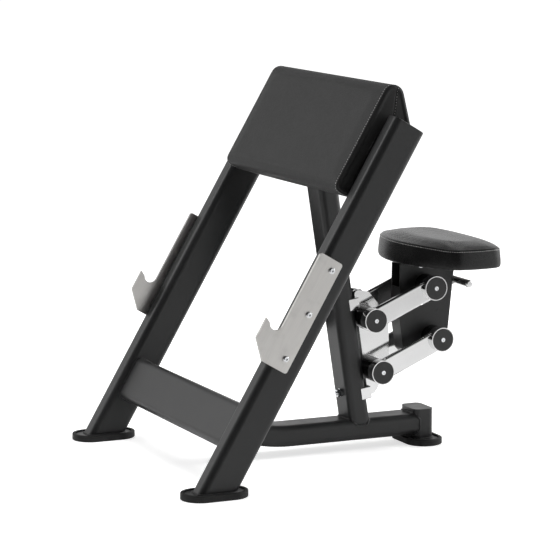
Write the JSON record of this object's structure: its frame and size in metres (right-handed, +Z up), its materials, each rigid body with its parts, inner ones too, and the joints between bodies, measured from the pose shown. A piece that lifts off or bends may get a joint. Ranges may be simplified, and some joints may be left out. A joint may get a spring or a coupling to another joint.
{
  "type": "preacher curl bench",
  "caption": "Preacher curl bench: a slanted padded arm rest on a tubular frame with bar hooks and a cushioned seat on a parallel-arm height adjuster.",
  "frame": {"origin": "on the floor under the middle of the bench's overall width and length", "axes": "+X across the bench to the seated user's left, +Y from the bar hooks towards the seat, +Z up"},
  "size_m": [0.754, 0.8922, 0.8705],
  "materials": {
    "frame_paint": "satin black powder coat",
    "carriage_paint": "satin black powder coat",
    "foot_rubber": "matte",
    "pad_cover": "grained vinyl",
    "plywood": "black stained",
    "hook_steel": "brushed stainless",
    "fastener_zinc": "bright zinc",
    "chrome": "polished",
    "sleeve_black": "gloss black",
    "cap_black": "matte",
    "bare_steel": "oiled",
    "bush_bronze": "sintered bronze"
  },
  "bodies": {
    "frame": {"left_post": "frame_paint", "right_post": "frame_paint", "post_end_caps": "frame_paint", "front_crossbeam": "frame_paint", "upper_crossbeam": "frame_paint", "base_beam": "frame_paint", "seat_column": "frame_paint", "rear_column": "frame_paint", "rear_column_cap": "frame_paint", "left_foot_plate": "frame_paint", "right_foot_plate": "frame_paint", "rear_foot_plate": "frame_paint", "left_rubber_foot": "foot_rubber", "right_rubber_foot": "foot_rubber", "rear_rubber_foot": "foot_rubber", "arm_pad": "pad_cover", "pad_board": "plywood", "pad_bolts": "fastener_zinc", "left_bar_hook": "hook_steel", "right_bar_hook": "hook_steel", "hook_screws": "fastener_zinc", "left_bracket_cheek": "chrome", "right_bracket_cheek": "chrome", "bracket_back_plate": "chrome", "upper_saddle": "chrome", "lower_saddle": "chrome", "bracket_bolts": "fastener_zinc", "bracket_nuts": "fastener_zinc", "bracket_washers": "fastener_zinc", "upper_front_shaft": "bare_steel", "lower_front_shaft": "bare_steel", "front_spacers": "sleeve_black", "front_pivot_caps": "cap_black", "front_cap_screws": "fastener_zinc"},
    "upper_arms": {"left_upper_arm": "chrome", "right_upper_arm": "chrome", "upper_arm_bushes": "bush_bronze", "upper_rear_shaft": "bare_steel", "upper_rear_spacers": "sleeve_black", "upper_rear_pivot_caps": "cap_black", "upper_rear_cap_screws": "fastener_zinc", "lock_sector": "bare_steel"},
    "lower_arms": {"left_lower_arm": "chrome", "right_lower_arm": "chrome", "lower_arm_bushes": "bush_bronze"},
    "carriage": {"carriage_shell": "carriage_paint", "carriage_bushes": "bush_bronze", "carriage_top_plate": "carriage_paint", "seat_board": "plywood", "seat_pad": "pad_cover", "seat_bolts": "fastener_zinc", "lower_rear_shaft": "bare_steel", "lower_rear_spacers": "sleeve_black", "lower_rear_pivot_caps": "cap_black", "lower_rear_cap_screws": "fastener_zinc", "pawl_pin": "carriage_paint", "pawl_spring": "bare_steel"},
    "release_lever": {"lock_pawl": "bare_steel", "release_handle": "chrome"}
  },
  "joints": [
    {"name": "seat_lift", "type": "hinge", "parent": "frame", "child": "upper_arms", "pos_m": [0, 0.14387, 0.30741], "axis": [1, 0, 0], "range_deg": [-30, 15]},
    {"name": "carriage_level", "type": "hinge", "parent": "upper_arms", "child": "carriage", "pos_m": [0, 0.29805, 0.37286], "axis": [1, 0, 0], "range_deg": [-15, 30]},
    {"name": "lower_arm_swing", "type": "hinge", "parent": "frame", "child": "lower_arms", "pos_m": [0, 0.1623, 0.1855], "axis": [1, 0, 0], "range_deg": [-30, 15]},
    {"name": "height_release", "type": "hinge", "parent": "carriage", "child": "release_lever", "pos_m": [0, 0.33555, 0.31036], "axis": [1, 0, 0], "range_deg": [-10, 4], "stiffness_Nm_per_rad": 4, "springref_deg": 2.64}
  ],
  "couplings": [
    {"joint": "carriage_level", "follows": "seat_lift", "ratio": -1},
    {"joint": "lower_arm_swing", "follows": "seat_lift", "ratio": 1}
  ]
}
